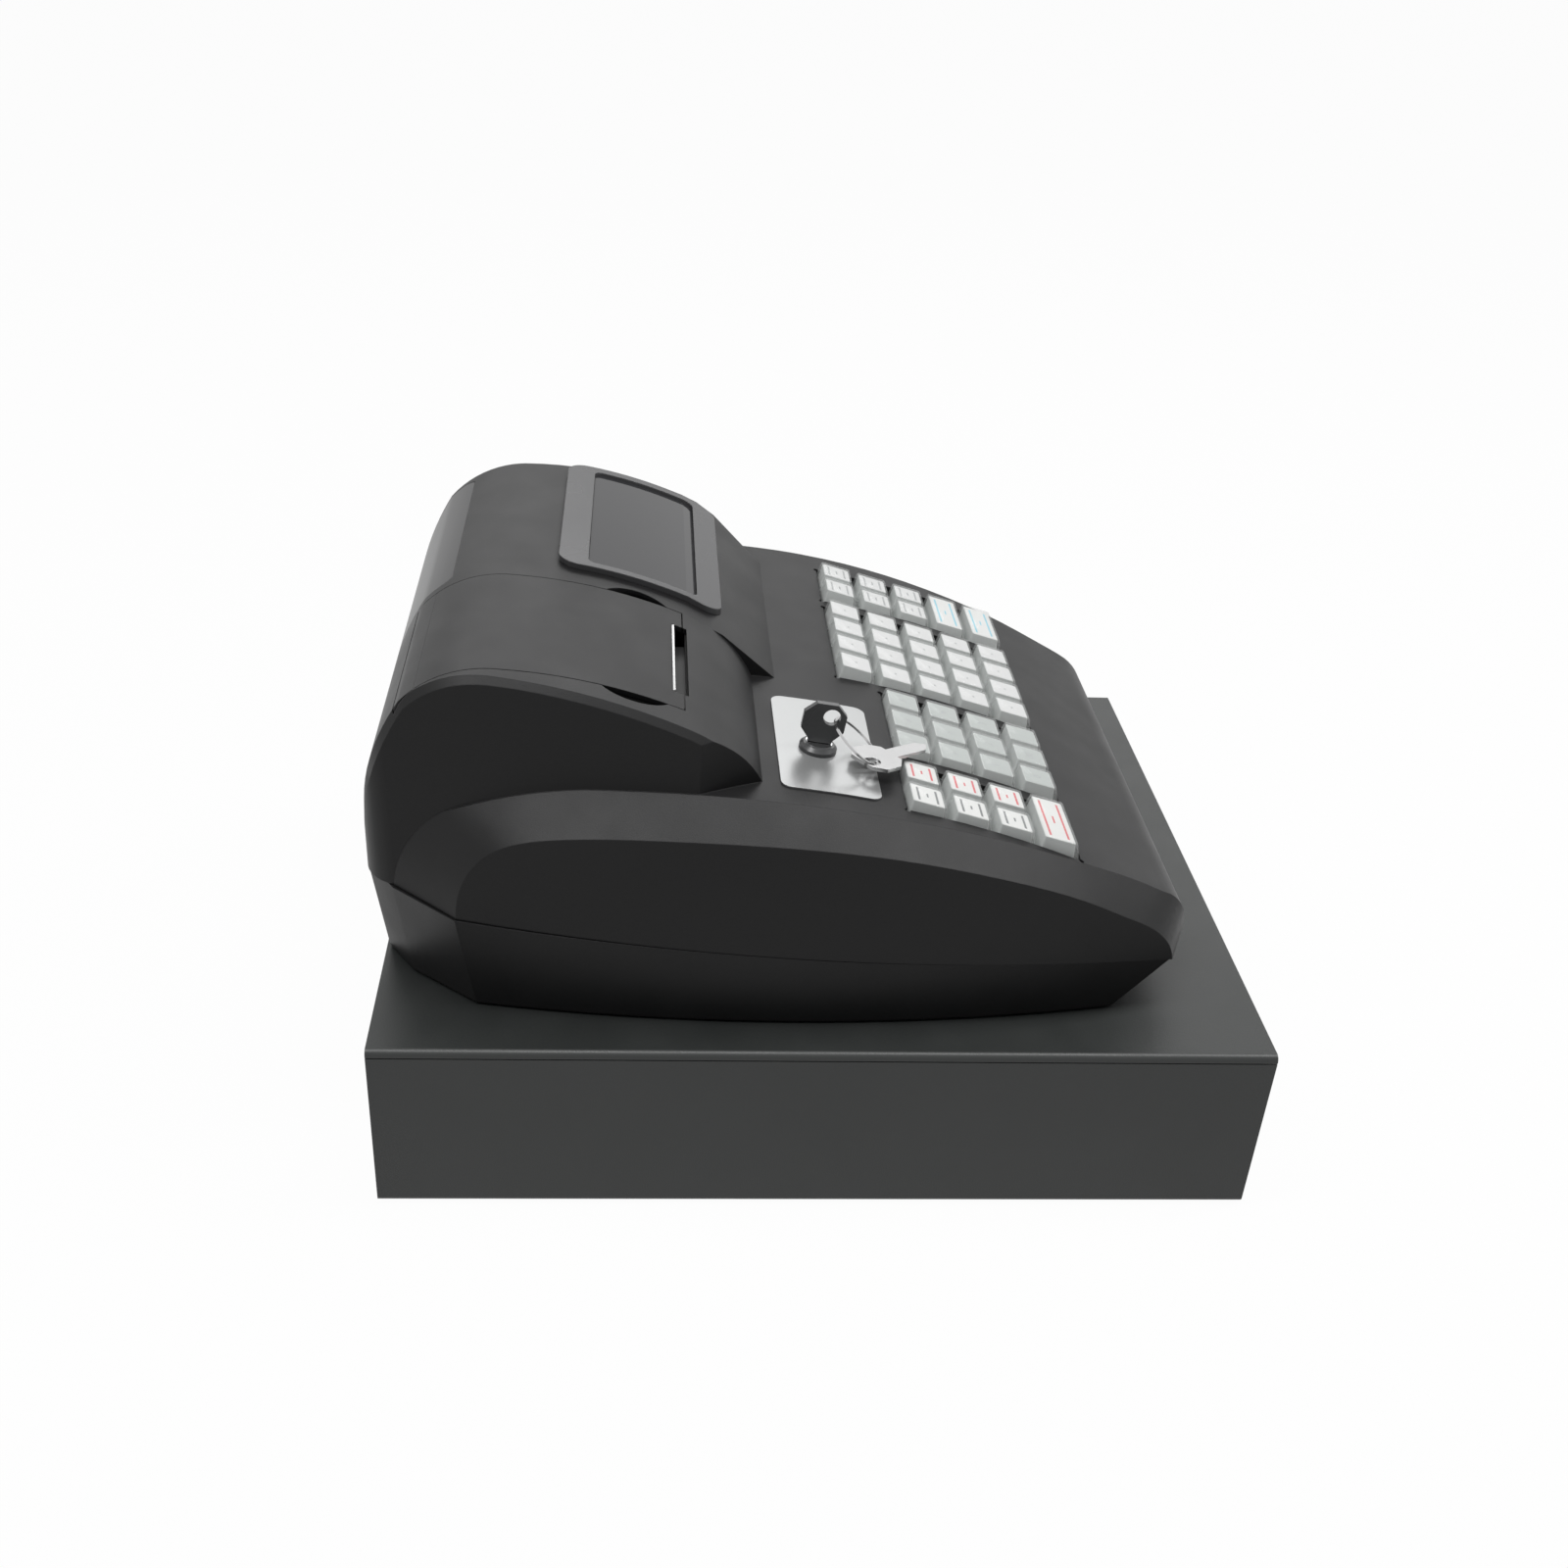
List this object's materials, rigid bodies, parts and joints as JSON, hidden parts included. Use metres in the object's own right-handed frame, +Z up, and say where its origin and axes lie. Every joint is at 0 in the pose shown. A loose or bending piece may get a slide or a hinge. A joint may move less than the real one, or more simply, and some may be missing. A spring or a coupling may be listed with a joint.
{
  "type": "electronic cash register on a cash drawer",
  "caption": "Compact counter till: raised body with keyboard, ticket printer, operator and customer displays and mode lock, standing on a sliding steel cash drawer.",
  "frame": {"origin": "middle of the part at the counter, under the middle of its length and width", "axes": "+X across the counter to the operator's right, +Y from the operator to the customer, +Z up"},
  "size_m": [0.35, 0.4112, 0.2485],
  "materials": {
    "drawer_paint": "fine textured powder coat",
    "zinc_steel": "plain zinc plate",
    "bright_metal": "polished nickel",
    "grey_nylon": "moulded nylon",
    "black_tray": "matt moulded",
    "black_abs": "fine spark-eroded texture",
    "key_grey": "satin",
    "bezel_grey": "gloss",
    "smoked_window": "smoked gloss",
    "silver_plate": "satin film over silver",
    "board_green": "solder mask",
    "rubber": "matt",
    "paper": null,
    "key_caps": "clear caps over paper legends"
  },
  "bodies": {
    "register": {"case_lid": "drawer_paint", "case_pan": "drawer_paint", "case_rails": "zinc_steel", "circuit_boards": "board_green", "customer_window": "smoked_window", "display_bezel": "bezel_grey", "display_window": "smoked_window", "key_frame": "black_tray", "latch_unit": "zinc_steel", "lock_plate": "silver_plate", "lower_shell": "black_abs", "mode_lock_barrel": "black_abs", "power_jack": "black_abs", "power_unit": "black_abs", "printer_frame": "zinc_steel", "rubber_feet": "rubber", "shell_screws": "zinc_steel", "upper_shell": "black_abs"},
    "drawer": {"drawer_tray": "zinc_steel", "drawer_front": "drawer_paint", "cash_insert": "black_tray", "coin_cups": "black_tray"},
    "front_rollers": {"front_rollers": "grey_nylon"},
    "rear_rollers": {"rear_rollers": "grey_nylon"},
    "latch_hook": {"latch_hook": "zinc_steel"},
    "drawer_lock": {"drawer_lock": "bright_metal"},
    "printer_cover": {"printer_cover": "black_abs", "tear_bar": "bright_metal"},
    "platen_roller": {"platen_roller": "rubber"},
    "paper_roll": {"paper_roll": "paper"},
    "mode_lock": {"mode_lock_plug": "bright_metal", "mode_key": "key_grey"},
    "key_ring": {"key_ring": "bright_metal", "spare_key": "bright_metal"},
    "bill_clip_1": {"bill_clip_1": "black_abs"},
    "bill_clip_2": {"bill_clip_2": "black_abs"},
    "bill_clip_3": {"bill_clip_3": "black_abs"},
    "bill_clip_4": {"bill_clip_4": "black_abs"},
    "cash_key": {"cash_key": "key_caps"},
    "clerk_key": {"clerk_key": "key_caps"},
    "department_keys_1": {"department_keys_1": "key_caps"},
    "department_keys_2": {"department_keys_2": "key_caps"},
    "department_keys_3": {"department_keys_3": "key_caps"},
    "department_keys_4": {"department_keys_4": "key_caps"},
    "function_keys": {"function_keys": "key_caps"},
    "number_key_1": {"number_key_1": "key_caps"},
    "number_key_10": {"number_key_10": "key_caps"},
    "number_key_11": {"number_key_11": "key_caps"},
    "number_key_12": {"number_key_12": "key_caps"},
    "number_key_2": {"number_key_2": "key_caps"},
    "number_key_3": {"number_key_3": "key_caps"},
    "number_key_4": {"number_key_4": "key_caps"},
    "number_key_5": {"number_key_5": "key_caps"},
    "number_key_6": {"number_key_6": "key_caps"},
    "number_key_7": {"number_key_7": "key_caps"},
    "number_key_8": {"number_key_8": "key_caps"},
    "number_key_9": {"number_key_9": "key_caps"},
    "paper_keys_1": {"paper_keys_1": "key_caps"},
    "paper_keys_2": {"paper_keys_2": "key_caps"},
    "subtotal_key": {"subtotal_key": "key_caps"}
  },
  "joints": [
    {"name": "drawer_slide", "type": "slide", "parent": "register", "child": "drawer", "axis": [0, -1, 0], "range_m": [0, 0.3]},
    {"name": "front_roller_spin", "type": "hinge", "parent": "register", "child": "front_rollers", "pos_m": [0, -0.18605, 0.036], "axis": [1, 0, 0], "range_deg": [0, 2700]},
    {"name": "rear_roller_spin", "type": "hinge", "parent": "drawer", "child": "rear_rollers", "pos_m": [0, 0.14695, 0.036], "axis": [1, 0, 0], "range_deg": [0, 2700]},
    {"name": "latch_hook_turn", "type": "hinge", "parent": "register", "child": "latch_hook", "pos_m": [0, 0.18375, 0.0435], "axis": [1, 0, 0], "range_deg": [0, 6]},
    {"name": "drawer_lock_turn", "type": "hinge", "parent": "drawer", "child": "drawer_lock", "pos_m": [0.12, -0.20405, 0.048], "axis": [0, 1, 0], "range_deg": [0, 90]},
    {"name": "printer_cover_hinge", "type": "hinge", "parent": "register", "child": "printer_cover", "pos_m": [-0.06975, 0.17795, 0.228], "axis": [-1, 0, 0], "range_deg": [0, 75]},
    {"name": "platen_spin", "type": "hinge", "parent": "printer_cover", "child": "platen_roller", "pos_m": [-0.0705, 0.07795, 0.2215], "axis": [1, 0, 0], "continuous": true},
    {"name": "paper_roll_spin", "type": "hinge", "parent": "register", "child": "paper_roll", "pos_m": [-0.0705, 0.13395, 0.2145], "axis": [1, 0, 0], "continuous": true},
    {"name": "mode_lock_turn", "type": "hinge", "parent": "register", "child": "mode_lock", "pos_m": [-0.0885, 0.00395, 0.1951], "axis": [0, -0.1412, 0.99], "range_deg": [-45, 45]},
    {"name": "key_ring_swing", "type": "hinge", "parent": "mode_lock", "child": "key_ring", "pos_m": [-0.0885, -0.00154, 0.21235], "axis": [1, 0, 0], "range_deg": [-30, 0]},
    {"name": "bill_clip_1_lift", "type": "hinge", "parent": "drawer", "child": "bill_clip_1", "pos_m": [0, 0.14635, 0.0568], "axis": [1, 0, 0], "range_deg": [-38, 0], "stiffness_Nm_per_rad": 0.02, "springref_deg": 17.19},
    {"name": "bill_clip_2_lift", "type": "hinge", "parent": "drawer", "child": "bill_clip_2", "pos_m": [0, 0.14635, 0.0568], "axis": [1, 0, 0], "range_deg": [-38, 0], "stiffness_Nm_per_rad": 0.02, "springref_deg": 17.19},
    {"name": "bill_clip_3_lift", "type": "hinge", "parent": "drawer", "child": "bill_clip_3", "pos_m": [0, 0.14635, 0.0568], "axis": [1, 0, 0], "range_deg": [-38, 0], "stiffness_Nm_per_rad": 0.02, "springref_deg": 17.19},
    {"name": "bill_clip_4_lift", "type": "hinge", "parent": "drawer", "child": "bill_clip_4", "pos_m": [0, 0.14635, 0.0568], "axis": [1, 0, 0], "range_deg": [-38, 0], "stiffness_Nm_per_rad": 0.02, "springref_deg": 17.19},
    {"name": "cash_key_press", "type": "slide", "parent": "register", "child": "cash_key", "axis": [0, 0.2792, -0.9602], "range_m": [0, 0.0025], "stiffness_N_per_m": 300, "springref_m": -0.002},
    {"name": "clerk_key_press", "type": "slide", "parent": "register", "child": "clerk_key", "axis": [0, 0.2792, -0.9602], "range_m": [0, 0.0025], "stiffness_N_per_m": 300, "springref_m": -0.002},
    {"name": "department_keys_1_press", "type": "slide", "parent": "register", "child": "department_keys_1", "axis": [0, 0.2792, -0.9602], "range_m": [0, 0.0025], "stiffness_N_per_m": 300, "springref_m": -0.002},
    {"name": "department_keys_2_press", "type": "slide", "parent": "register", "child": "department_keys_2", "axis": [0, 0.2792, -0.9602], "range_m": [0, 0.0025], "stiffness_N_per_m": 300, "springref_m": -0.002},
    {"name": "department_keys_3_press", "type": "slide", "parent": "register", "child": "department_keys_3", "axis": [0, 0.2792, -0.9602], "range_m": [0, 0.0025], "stiffness_N_per_m": 300, "springref_m": -0.002},
    {"name": "department_keys_4_press", "type": "slide", "parent": "register", "child": "department_keys_4", "axis": [0, 0.2792, -0.9602], "range_m": [0, 0.0025], "stiffness_N_per_m": 300, "springref_m": -0.002},
    {"name": "function_keys_press", "type": "slide", "parent": "register", "child": "function_keys", "axis": [0, 0.2792, -0.9602], "range_m": [0, 0.0025], "stiffness_N_per_m": 300, "springref_m": -0.002},
    {"name": "number_key_1_press", "type": "slide", "parent": "register", "child": "number_key_1", "axis": [0, 0.2792, -0.9602], "range_m": [0, 0.0025], "stiffness_N_per_m": 300, "springref_m": -0.002},
    {"name": "number_key_10_press", "type": "slide", "parent": "register", "child": "number_key_10", "axis": [0, 0.2792, -0.9602], "range_m": [0, 0.0025], "stiffness_N_per_m": 300, "springref_m": -0.002},
    {"name": "number_key_11_press", "type": "slide", "parent": "register", "child": "number_key_11", "axis": [0, 0.2792, -0.9602], "range_m": [0, 0.0025], "stiffness_N_per_m": 300, "springref_m": -0.002},
    {"name": "number_key_12_press", "type": "slide", "parent": "register", "child": "number_key_12", "axis": [0, 0.2792, -0.9602], "range_m": [0, 0.0025], "stiffness_N_per_m": 300, "springref_m": -0.002},
    {"name": "number_key_2_press", "type": "slide", "parent": "register", "child": "number_key_2", "axis": [0, 0.2792, -0.9602], "range_m": [0, 0.0025], "stiffness_N_per_m": 300, "springref_m": -0.002},
    {"name": "number_key_3_press", "type": "slide", "parent": "register", "child": "number_key_3", "axis": [0, 0.2792, -0.9602], "range_m": [0, 0.0025], "stiffness_N_per_m": 300, "springref_m": -0.002},
    {"name": "number_key_4_press", "type": "slide", "parent": "register", "child": "number_key_4", "axis": [0, 0.2792, -0.9602], "range_m": [0, 0.0025], "stiffness_N_per_m": 300, "springref_m": -0.002},
    {"name": "number_key_5_press", "type": "slide", "parent": "register", "child": "number_key_5", "axis": [0, 0.2792, -0.9602], "range_m": [0, 0.0025], "stiffness_N_per_m": 300, "springref_m": -0.002},
    {"name": "number_key_6_press", "type": "slide", "parent": "register", "child": "number_key_6", "axis": [0, 0.2792, -0.9602], "range_m": [0, 0.0025], "stiffness_N_per_m": 300, "springref_m": -0.002},
    {"name": "number_key_7_press", "type": "slide", "parent": "register", "child": "number_key_7", "axis": [0, 0.2792, -0.9602], "range_m": [0, 0.0025], "stiffness_N_per_m": 300, "springref_m": -0.002},
    {"name": "number_key_8_press", "type": "slide", "parent": "register", "child": "number_key_8", "axis": [0, 0.2792, -0.9602], "range_m": [0, 0.0025], "stiffness_N_per_m": 300, "springref_m": -0.002},
    {"name": "number_key_9_press", "type": "slide", "parent": "register", "child": "number_key_9", "axis": [0, 0.2792, -0.9602], "range_m": [0, 0.0025], "stiffness_N_per_m": 300, "springref_m": -0.002},
    {"name": "paper_keys_1_press", "type": "slide", "parent": "register", "child": "paper_keys_1", "axis": [0, 0.2792, -0.9602], "range_m": [0, 0.0025], "stiffness_N_per_m": 300, "springref_m": -0.002},
    {"name": "paper_keys_2_press", "type": "slide", "parent": "register", "child": "paper_keys_2", "axis": [0, 0.2792, -0.9602], "range_m": [0, 0.0025], "stiffness_N_per_m": 300, "springref_m": -0.002},
    {"name": "subtotal_key_press", "type": "slide", "parent": "register", "child": "subtotal_key", "axis": [0, 0.2792, -0.9602], "range_m": [0, 0.0025], "stiffness_N_per_m": 300, "springref_m": -0.002}
  ],
  "couplings": [
    {"joint": "front_roller_spin", "follows": "drawer_slide", "rad_per_m": 153.85},
    {"joint": "rear_roller_spin", "follows": "drawer_slide", "rad_per_m": 153.85}
  ]
}
